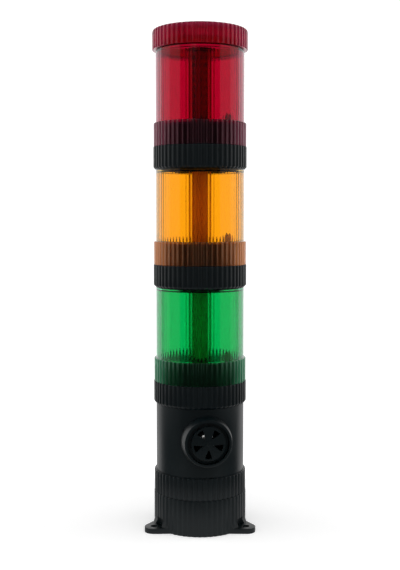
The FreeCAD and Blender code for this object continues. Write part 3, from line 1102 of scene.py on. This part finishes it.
@dataclass
class BuzzerModule(Module):
    """Buzzer housing with the grille in its boss, and the sounder's dome behind it."""

    skirt: float = 16.5
    grille_turn: float = math.radians(9.0)
    boss: float = 18.8
    boss_face: float = 17.4
    boss_reach: float = 7.0
    boss_root: float = 2.0
    boss_root_ease: float = 1.0
    hollow_start: float = 11.0
    shoulder_wall: float = 2.0
    sleeve: float = 17.5
    flange: float = 15.2
    gap: float = 0.3
    disc: float = 12.7
    disc_wall: float = 1.5
    grille_height: float = 4.0
    flange_thickness: float = 1.2
    seat: float = 1.0
    seat_thickness: float = 1.6
    sounder_depth: float = 12.0
    recess: float = 5.0
    wedge_count: int = 5
    wedge_start: float = 3.8
    wedge_end: float = 11.0
    wedge_width: float = 5.3
    hub_dot: float = 1.3
    hub_dot_rise: float = 0.4
    hub_dot_flare: float = 0.2
    hub_dot_ease: float = 0.1
    grille_bevel: float = 0.15
    grille_edge: float = 50.0
    dome: float = 10.0
    dome_rim: float = 3.0
    dome_rise: float = 5.4
    dome_edge: float = 50.0

    def build(self) -> None:
        """Build the module."""
        self._housing()
        self._grille()
        self._dome()

    @property
    def face(self) -> float:
        """Distance of the grille's face from the tower's axis."""
        return self.radii.tube + self.boss_reach

    @property
    def seat_front(self) -> float:
        """Distance of the seat that the grille rests on."""
        return self.face - self.grille_height

    @property
    def seat_back(self) -> float:
        """Distance of the seat's rear, against which the sounder rests."""
        return self.seat_front - self.seat_thickness

    @property
    def sleeve_back(self) -> float:
        """Distance of the sleeve's inner end."""
        return self.seat_back - self.sounder_depth - self.seat

    @property
    def facing(self) -> Matrix:
        """Turn that brings the Z axis to the line which looks out of the grille.

        Returns:
            The move for a piece that was made on the Z axis.
        """
        low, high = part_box("buzzer_grille")
        lift = Matrix.Translation((0, 0, (low.z + high.z) / 2))
        turn = Matrix.Rotation(self.grille_turn, 4, "Z")
        return lift @ turn @ Matrix.Rotation(math.pi / 2, 4, "X")

    def _housing(self) -> None:
        """Ribbed skirt, smooth tube, bayonets at both ends and the boss round the grille."""
        radii = self.radii
        bayonet = self.bayonet
        foot = level("buzzer_housing")
        skirt_top = foot + self.skirt
        shoulder = level("buzzer_housing", top=True) - bayonet.neck
        housing = Bench.lathe(
            "buzzer_shell",
            [
                Corner(radii.skirt, foot, EDGE),
                Corner(radii.skirt, skirt_top, ROUNDED),
                Corner(radii.tube, skirt_top),
                *bayonet.neck_corners(radii, shoulder),
                Corner(radii.neck_bore, shoulder - self.shoulder_wall),
                Corner(radii.plug_bore, shoulder - self.shoulder_wall),
                *bayonet.socket_corners(radii, foot),
            ],
        )
        self.ribs.carve(housing, radii.skirt, radii.tube + APART, foot, skirt_top)
        bayonet.open_foot(housing, foot)
        bayonet.trim_neck(housing, radii, shoulder)
        Bench.combine(housing, self._boss(foot, shoulder), Blend.JOIN)
        Bench.combine(housing, self._bore(), Blend.CUT)
        self.settle(housing, "black_plastic", ["buzzer_housing"])

    def _boss(self, foot: float, shoulder: float) -> Piece:
        """Boss on the tube, with the sleeve that holds the sounder inside.

        Args:
            foot: the module's lower face.
            shoulder: the module's shoulder.

        Returns:
            The boss.
        """
        root = math.sqrt(self.radii.tube ** 2 - self.boss ** 2) - self.boss_root
        boss = Bench.lathe(
            "boss",
            [
                Corner(0, root),
                Corner(self.boss, root),
                Corner(self.boss, self.radii.tube, self.boss_root_ease),
                Corner(self.boss_face, self.face, ROUNDED),
                Corner(0, self.face),
            ],
            FINE,
        )
        Bench.place(boss, self.facing)
        low, high = foot + self.hollow_start, shoulder - OVERRUN
        hollow = Bench.bar("hollow", self.radii.plug_bore, low, high, sides=AROUND)
        Bench.combine(boss, hollow, Blend.CUT)
        sleeve = Bench.bar("sleeve", self.sleeve, self.sleeve_back, self.seat_front, sides=FINE)
        Bench.place(sleeve, self.facing)
        Bench.combine(boss, sleeve, Blend.JOIN)
        return boss

    def _bore(self) -> Piece:
        """Stepped space inside the boss and its sleeve.

        Returns:
            The space to cut away.
        """
        wide = self.flange + self.gap
        narrow = self.flange - self.seat
        bore = Bench.lathe(
            "bore",
            [
                Corner(0, self.sleeve_back - OVERRUN),
                Corner(wide, self.sleeve_back - OVERRUN),
                Corner(wide, self.seat_back),
                Corner(narrow, self.seat_back),
                Corner(narrow, self.seat_front),
                Corner(wide, self.seat_front),
                Corner(wide, self.face + OVERRUN),
                Corner(0, self.face + OVERRUN),
            ],
            FINE,
        )
        Bench.place(bore, self.facing)
        return bore

    def _grille(self) -> None:
        """Hat-shaped grille with its wedge openings and hub dot."""
        low = self.seat_front
        hollow = self.disc - self.disc_wall
        hat = Bench.lathe(
            "wedge_grille",
            [
                Corner(0, self.face - self.disc_wall),
                Corner(hollow, self.face - self.disc_wall),
                Corner(hollow, low),
                Corner(self.flange, low),
                Corner(self.flange, low + self.flange_thickness),
                Corner(self.disc, low + self.flange_thickness),
                Corner(self.disc, self.face, ROUNDED),
                Corner(self.hub_dot + self.hub_dot_flare, self.face, self.hub_dot_ease),
                Corner(self.hub_dot, self.face + self.hub_dot_rise, self.hub_dot_ease),
                Corner(0, self.face + self.hub_dot_rise),
            ],
            FINE,
        )
        wedge = self._wedge(low - OVERRUN)
        for index in range(self.wedge_count):
            turn = Matrix.Rotation(-math.pi / 2 + index * 2 * math.pi / self.wedge_count, 4, "Z")
            Bench.combine(hat, Bench.copy(wedge, f"opening_{index}", turn), Blend.CUT)
        bpy.data.objects.remove(wedge)
        Bench.soften(hat, self.grille_bevel, self.grille_edge)
        Bench.place(hat, self.facing)
        self.settle(hat, "black_plastic", ["buzzer_grille"])

    def _wedge(self, low: float) -> Piece:
        """One wedge opening along +X, with its round outer end.

        Args:
            low: where it starts.

        Returns:
            The space to cut away.
        """
        high = self.face + OVERRUN
        half = self.wedge_width / 2
        corner = math.sqrt(self.wedge_end ** 2 - half ** 2)
        reach = self.wedge_end + 2 * OVERRUN - self.wedge_start
        spread = half / (corner - self.wedge_start)
        # A three-sided bar is one and a half times its radius deep and has one corner on +Y.
        # That corner is turned to point at the hub.
        radius = reach / 1.5
        wedge = Bench.bar("wedge", radius, low, high, sides=3)
        Bench.place(wedge, Matrix.Rotation(math.pi / 2, 4, "Z"))
        share = spread / math.tan(math.pi / 6)
        Bench.rescale(wedge, lambda spot: True, (1, share, 1))
        Bench.place(wedge, Matrix.Translation(((self.wedge_start + radius) * MM, 0, 0)))
        Bench.combine(wedge, Bench.bar("round_end", self.wedge_end, low, high), Blend.KEEP)
        return wedge

    def _dome(self) -> None:
        """Pressed metal dome of the sounder."""
        low = self.seat_back - self.recess
        crown = crowned(self.dome, self.dome_rise, low + self.dome_rim, self.dome)
        outline = [Corner(0, low), Corner(self.dome, low), *crown]
        dome = Bench.lathe("pressed_dome", outline, ROUND)
        Bench.place(dome, self.facing)
        self.settle(dome, "sounder_metal", ["sounder_dome"], self.dome_edge)


@dataclass
class LightModule(Module):
    """One light module: its coupling ring with the carrier, and its lens."""

    colour: LensColour = LensColour.GREEN
    collar: float = 16.8
    skirt: float = 17.4
    deck_drop: float = 1.6
    deck: float = 1.8
    foot_chamfer: float = 1.5
    shoulder_wall: float = 2.3
    shoulder_ease: float = 0.9
    flutes: Ribs = Ribs(0.15, (0.0, 0.25, 0.75, 1.0, 0.75, 0.25))
    flute_reach: float = 1.3
    column_hole: float = 10.6
    column_turn: float = math.radians(36.0)
    guide: float = 10.1
    guide_wall: float = 0.7

    def build(self) -> None:
        """Build the module."""
        self._coupling_ring()
        self._lens()
        self._light_guide()

    def _coupling_ring(self) -> None:
        """Ribbed ring with the bayonet foot, and the carrier that the lens fits over."""
        radii = self.radii
        bayonet = self.bayonet
        foot = level(f"{self.colour.value}_collar")
        seat = foot + self.collar
        deck_top = seat + self.skirt - self.deck_drop
        ring = Bench.lathe(
            f"{self.colour.value}_coupling_ring",
            [
                Corner(radii.ring - self.foot_chamfer, foot, CRISP),
                Corner(radii.ring, foot + self.foot_chamfer, ROUNDED),
                Corner(radii.ring, seat, ROUNDED),
                Corner(radii.plug, seat),
                Corner(radii.plug, deck_top, FULL),
                Corner(0, deck_top),
                Corner(0, deck_top - self.deck),
                Corner(radii.plug_bore, deck_top - self.deck, ROUNDED),
                *bayonet.socket_corners(radii, foot),
            ],
        )
        self.ribs.carve(ring, radii.ring, bayonet.chamber + APART, foot, seat)
        bayonet.open_foot(ring, foot)
        half = self.column_hole / 2
        low = foot + bayonet.socket_top
        hole = Bench.block("column_hole", (-half, -half, low), (half, half, deck_top + OVERRUN))
        Bench.place(hole, Matrix.Rotation(self.column_turn, 4, "Z"))
        Bench.combine(ring, hole, Blend.CUT)
        self.settle(ring, "black_plastic", [f"{self.colour.value}_collar"])

    def _lens(self) -> None:
        """Fluted tube with its ribbed skirt, shoulder and neck."""
        radii = self.radii
        name = self.colour.value
        foot = level(f"{name}_lens")
        skirt_top = foot + self.skirt
        shoulder = level(f"{name}_lens", top=True) - self.bayonet.neck
        under = shoulder - self.shoulder_wall
        lens = Bench.lathe(
            f"{name}_fluted_lens",
            [
                Corner(radii.skirt_bore, foot, HAIR),
                Corner(radii.skirt, foot, EDGE),
                Corner(radii.skirt, skirt_top, FULL),
                Corner(radii.tube, skirt_top, CRISP),
                *self.bayonet.neck_corners(radii, shoulder),
                Corner(radii.neck_bore, under, FILLET),
                Corner(radii.lens_bore, under, self.shoulder_ease),
                Corner(radii.lens_bore, skirt_top, CRISP),
                Corner(radii.skirt_bore, skirt_top, CRISP),
            ],
        )
        self.ribs.carve(lens, radii.skirt, radii.tube + APART, foot, skirt_top)
        self.bayonet.trim_neck(lens, radii, shoulder)
        self.flutes.carve(
            lens, radii.lens_bore, radii.lens_bore - self.flute_reach, skirt_top - OVERRUN,
            under + OVERRUN, radii.lens_bore + SLACK,
        )
        self.settle(lens, f"{name}_lens", [f"{name}_lens"])
        # The skirt's faces take the darker rim copy of the lens plastic: painted shade.
        self.finishes.dress(lens, f"{name}_lens", f"{name}_rim")
        for face in lens.data.polygons:
            if face.center.z / MM < skirt_top:
                face.material_index = 1

    def _light_guide(self) -> None:
        """Thin clear tube that stands on the deck round the LED column."""
        name = self.colour.value
        low = level(f"{name}_collar", top=True)
        high = level(f"{name}_head")
        bore = self.guide - self.guide_wall
        tube = Bench.lathe(
            f"{name}_light_guide",
            [
                Corner(bore, low),
                Corner(self.guide, low),
                Corner(self.guide, high),
                Corner(bore, high),
            ],
            ROUND,
        )
        self.settle(tube, f"{name}_lens", [])
        self.finishes.dress(tube, f"{name}_guide")


@dataclass
class TopCap(Module):
    """Ribbed cap on the top lens."""

    height: float = 14.5
    crown: float = 2.6
    wall: float = 2.2
    edge_ease: float = 1.9
    edge_gap: float = 0.3

    def build(self) -> None:
        """Build the cap."""
        radii = self.radii
        bayonet = self.bayonet
        foot = level("top_cap")
        edge = foot + self.height
        ceiling = edge - self.wall
        start = radii.cap - self.edge_ease - self.edge_gap
        cap = Bench.lathe(
            "ribbed_top_cap",
            [
                Corner(radii.cap, foot, EDGE),
                Corner(radii.cap, edge, self.edge_ease),
                *crowned(radii.cap, self.crown, edge, start),
                Corner(0, ceiling),
                Corner(bayonet.ledge, ceiling, FILLET),
                Corner(bayonet.ledge, foot + bayonet.chamber_top),
                *bayonet.foot_corners(foot),
            ],
        )
        self.ribs.carve(cap, radii.cap, bayonet.chamber + APART, foot, edge)
        bayonet.open_foot(cap, foot)
        self.settle(cap, "red_lens", ["top_cap"])
        self.finishes.dress(cap, "red_cap", "red_cap_painted_light_inside")
        # The inner faces take the paler copy: painted light on the cap's underside.
        for face in cap.data.polygons:
            spot = face.center / MM
            if spot.z < ceiling + APART and spot.xy.length < bayonet.chamber + APART:
                face.material_index = 1


# Studio


@dataclass(frozen=True)
class Softbox:
    """Rectangular soft lamp: its bearing from the front, its sizes, its height and its glow."""

    name: str
    azimuth: float
    width: float
    height: float
    middle: float
    glow: float

    def hang(self, distance: float, aim: float) -> None:
        """Hang the lamp.

        Args:
            distance: how far from the tower's axis it hangs.
            aim: height of the point on the axis that it faces.
        """
        turn = math.radians(self.azimuth)
        spot = Vector((distance * math.sin(turn), -distance * math.cos(turn), self.middle))
        Bench.clear()
        bpy.ops.object.light_add(type="AREA", location=spot)
        lamp = bpy.context.object
        lamp.name = self.name
        lamp.data.shape = "RECTANGLE"
        lamp.data.size = self.width
        lamp.data.size_y = self.height
        lamp.data.energy = self.glow * math.pi * self.width * self.height
        line = Vector((0, 0, aim)) - spot
        lamp.rotation_euler = line.to_track_quat("-Z", "Y").to_euler()


@dataclass(frozen=True)
class Studio:
    """Floor, backdrop, lamps and camera."""

    eye_height: float = 0.235
    eye_distance: float = 0.700
    eye_pitch: float = math.radians(4.17)
    lens: float = 58.4
    sensor: float = 36.0
    nearest: float = 0.01
    floor_size: float = 0.24
    floor_grey: float = 0.8
    floor_glow: float = 0.35
    backdrop_size: float = 8.0
    backdrop_distance: float = 2.4
    backdrop_grey: float = 0.2
    backdrop_glow: float = 1.0
    stage_roughness: float = 0.8
    stage_shine: float = 0.1
    lamp_distance: float = 1.1
    walls: tuple[Softbox, ...] = (
        Softbox("front_left_softbox", -68.0, 0.60, 2.4, 1.2, 0.26),
        Softbox("front_right_softbox", 68.0, 0.60, 2.4, 1.2, 0.26),
        Softbox("left_softbox", -104.0, 0.80, 2.4, 1.2, 0.52),
        Softbox("right_softbox", 104.0, 0.80, 2.4, 1.2, 0.52),
    )
    key: Softbox = Softbox("key_softbox", -20.0, 0.34, 0.26, 0.92, 0.9)
    key_aim: float = 0.06
    mirrored: float = 0.02

    def build(self) -> None:
        """Set the stage."""
        pale = self._glowing("pale_floor", self.floor_grey, self.floor_glow)
        self._plane("floor", self.floor_size, 0, 0, pale)
        white = self._glowing("white_backdrop", self.backdrop_grey, self.backdrop_glow)
        self._plane("backdrop", self.backdrop_size, self.backdrop_distance, math.pi / 2, white)
        self._world()
        for lamp in self.walls:
            lamp.hang(self.lamp_distance, lamp.middle)
        self.key.hang(self.lamp_distance, self.key_aim)
        self._camera()

    @staticmethod
    def _seen(shading: Shading) -> Wire:
        """Tell apart what is looked at and what only lights the scene.

        Args:
            shading: the material's nodes.

        Returns:
            1 where a ray is seen directly, mirrored or through plastic, and 0 elsewhere.
        """
        path = shading.node("ShaderNodeLightPath", {}, {})
        seen = Wire(shading, path.outputs["Is Camera Ray"])
        mirrored = Wire(shading, path.outputs["Is Glossy Ray"])
        through = Wire(shading, path.outputs["Is Transmission Ray"])
        return seen.largest(mirrored).largest(through)

    def _glowing(self, name: str, grey: float, glow: float) -> bpy.types.Material:
        """Pale material that also glows where it is looked at.

        Args:
            name: its name.
            grey: its own brightness.
            glow: how much it glows, where 1 is white.

        Returns:
            The material.
        """
        shading = Shading.material(name)
        shading.dress(
            Base_Color=(grey, grey, grey),
            Roughness=self.stage_roughness,
            Specular_IOR_Level=self.stage_shine,
            Emission_Color=shading.mixed(self._seen(shading), (0.0, 0.0, 0.0), (glow, glow, glow)),
            Emission_Strength=1.0,
        )
        return shading.owner

    def _plane(
        self, name: str, size: float, distance: float, tilt: float, material: bpy.types.Material
    ) -> None:
        """Add a flat piece of the stage.

        Args:
            name: its name.
            size: its length and width.
            distance: how far behind the tower its middle lies.
            tilt: its turn about the X axis.
            material: its finish.
        """
        Bench.clear()
        bpy.ops.mesh.primitive_plane_add(
            size=size, location=(0, distance, 0), rotation=(tilt, 0, 0)
        )
        piece = Bench.named(name)
        piece.data.materials.append(material)

    def _world(self) -> None:
        """White all round, but a dark room to light that a surface mirrors."""
        world = bpy.data.worlds.new("studio")
        bpy.context.scene.world = world
        shading = Shading(world)
        path = shading.node("ShaderNodeLightPath", {}, {})
        unmirrored = 1.0 - Wire(shading, path.outputs["Glossy Depth"])
        background = shading.nodes["Background"]
        shading.feed(background.inputs["Color"], (1.0, 1.0, 1.0))
        shading.feed(background.inputs["Strength"], unmirrored.largest(self.mirrored))

    def _camera(self) -> None:
        """Stand the camera in front of the tower."""
        Bench.clear()
        bpy.ops.object.camera_add(
            location=(0, -self.eye_distance, self.eye_height),
            rotation=(math.pi / 2 - self.eye_pitch, 0, 0),
        )
        camera = bpy.context.object
        camera.data.lens = self.lens
        camera.data.sensor_width = self.sensor
        camera.data.clip_start = self.nearest
        bpy.context.scene.camera = camera
        bpy.context.scene.view_settings.view_transform = "Standard"


def main() -> None:
    """Build the looks in order."""
    logging.basicConfig(level=logging.INFO)
    finishes = Finishes()
    finishes.dress_frame()
    Base("base", finishes).build()
    BuzzerModule("buzzer_module", finishes).build()
    for colour in LensColour:
        LightModule(f"{colour.value}_module", finishes, colour=colour).build()
    TopCap("cap", finishes).build()
    Studio().build()


if __name__ == "__main__":
    main()
